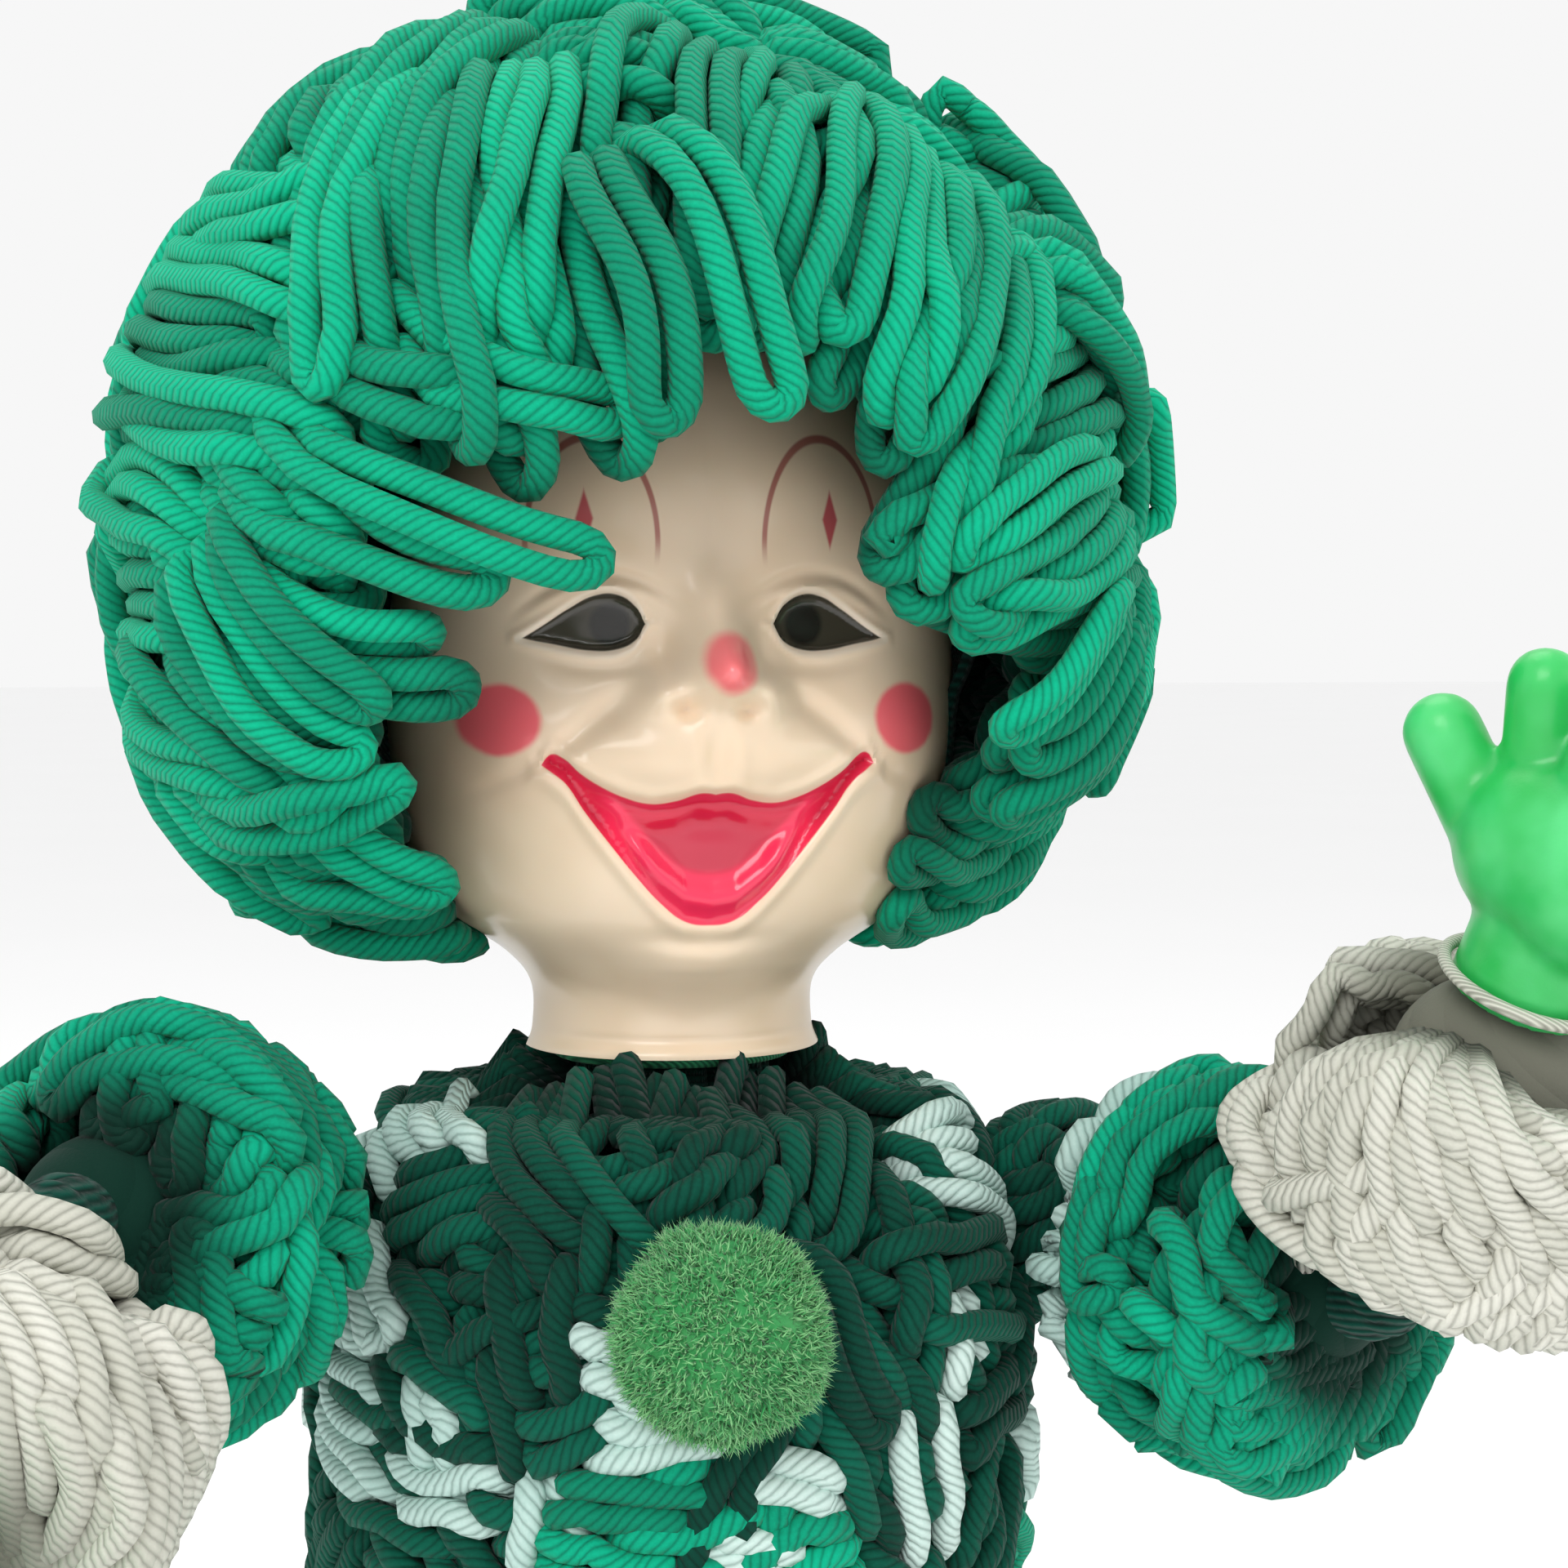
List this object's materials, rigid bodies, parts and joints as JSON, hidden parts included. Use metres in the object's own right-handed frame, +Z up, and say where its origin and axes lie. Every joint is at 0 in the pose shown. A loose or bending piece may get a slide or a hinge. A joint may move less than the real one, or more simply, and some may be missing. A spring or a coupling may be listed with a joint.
{
  "type": "hand puppet",
  "caption": "Clown hand puppet with a moulded smiling face, thick loop yarn hair and body, a pompom front and posable arms that end in moulded hands.",
  "frame": {"origin": "centre of the hand opening, level with the bottom of the hem", "axes": "+Z up along the glove, -Y the way the face looks, +X the puppet's own left arm"},
  "size_m": [0.2843, 0.2472, 0.406],
  "materials": {
    "hair_yarn": "matte",
    "green_yarn": "matte",
    "dark_yarn": "matte",
    "white_yarn": "matte",
    "cream_yarn": "matte",
    "pompom_yarn": "matte",
    "glove_cloth": "matte",
    "tie_cord": "matte",
    "stuffing": "matte",
    "card": "matte",
    "face_plastic": "gloss",
    "hand_vinyl": "satin",
    "arm_wire": "satin"
  },
  "bodies": {
    "torso": {"glove": "glove_cloth", "hem_band": "glove_cloth", "hem_loops": "dark_yarn", "skirt_loops": "cream_yarn", "belly_loops": "green_yarn", "waist_loops": "green_yarn", "chest_loops_green": "dark_yarn", "chest_loops_white": "white_yarn", "collar_loops": "dark_yarn", "pompom_upper": "pompom_yarn", "pompom_lower": "pompom_yarn", "pompom_threads": "tie_cord"},
    "neck_turn": {"neck_gather": "glove_cloth"},
    "neck_tilt": {"neck_tie": "tie_cord"},
    "head": {"finger_tube": "card", "head_core": "stuffing", "face_mask": "face_plastic", "wig_cap": "glove_cloth", "hair_crown": "hair_yarn", "hair_fringe_left": "hair_yarn", "hair_fringe_right": "hair_yarn", "hair_side_left": "hair_yarn", "hair_side_right": "hair_yarn", "hair_back": "hair_yarn", "hair_nape": "hair_yarn"},
    "left_shoulder": {"left_shoulder_loops": "dark_yarn"},
    "left_upper_arm": {"left_white_loops": "white_yarn", "left_arm_loops": "green_yarn", "left_upper_core": "glove_cloth", "left_upper_wire": "arm_wire"},
    "left_forearm": {"left_cuff_loops": "cream_yarn", "left_forearm_core": "glove_cloth", "left_forearm_wire": "arm_wire", "left_wrist_tie": "tie_cord"},
    "left_palm": {"left_hand": "hand_vinyl"},
    "right_shoulder": {"right_shoulder_loops": "dark_yarn"},
    "right_upper_arm": {"right_white_loops": "white_yarn", "right_arm_loops": "green_yarn", "right_upper_core": "glove_cloth", "right_upper_wire": "arm_wire"},
    "right_forearm": {"right_cuff_loops": "cream_yarn", "right_forearm_core": "glove_cloth", "right_forearm_wire": "arm_wire", "right_wrist_tie": "tie_cord"},
    "right_palm": {"right_hand": "hand_vinyl"}
  },
  "joints": [
    {"name": "head_turn", "type": "hinge", "parent": "torso", "child": "neck_turn", "pos_m": [0, 0, 0.234], "axis": [0, 0, 1], "range_deg": [-50, 50]},
    {"name": "head_tilt", "type": "hinge", "parent": "neck_turn", "child": "neck_tilt", "pos_m": [0, 0, 0.234], "axis": [0, 1, 0], "range_deg": [-12, 12]},
    {"name": "head_nod", "type": "hinge", "parent": "neck_tilt", "child": "head", "pos_m": [0, 0, 0.234], "axis": [1, 0, 0], "range_deg": [-14, 18]},
    {"name": "left_arm_swing", "type": "hinge", "parent": "torso", "child": "left_shoulder", "pos_m": [0.069, -0.004, 0.203], "axis": [0, 0, 1], "range_deg": [0, 50]},
    {"name": "left_arm_raise", "type": "hinge", "parent": "left_shoulder", "child": "left_upper_arm", "pos_m": [0.069, -0.004, 0.203], "axis": [-0.8988, -0.4384, 0], "range_deg": [-26, 14]},
    {"name": "left_elbow", "type": "hinge", "parent": "left_upper_arm", "child": "left_forearm", "pos_m": [0.10203, -0.07173, 0.20037], "axis": [-0.8988, -0.4384, 0], "range_deg": [-60, 5]},
    {"name": "left_hand_turn", "type": "hinge", "parent": "left_forearm", "child": "left_palm", "pos_m": [0.1128, -0.09379, 0.2507], "axis": [0.1922, -0.394, 0.8988], "range_deg": [-40, 40]},
    {"name": "right_arm_swing", "type": "hinge", "parent": "torso", "child": "right_shoulder", "pos_m": [-0.069, -0.004, 0.203], "axis": [0, 0, -1], "range_deg": [0, 50]},
    {"name": "right_arm_raise", "type": "hinge", "parent": "right_shoulder", "child": "right_upper_arm", "pos_m": [-0.069, -0.004, 0.203], "axis": [-0.8988, 0.4384, 0], "range_deg": [-34, 4]},
    {"name": "right_elbow", "type": "hinge", "parent": "right_upper_arm", "child": "right_forearm", "pos_m": [-0.10107, -0.06976, 0.22124], "axis": [-0.8988, 0.4384, 0], "range_deg": [-15, 45]},
    {"name": "right_hand_turn", "type": "hinge", "parent": "right_forearm", "child": "right_palm", "pos_m": [-0.12093, -0.11048, 0.18832], "axis": [0.3546, 0.7271, 0.5878], "range_deg": [-40, 40]}
  ]
}
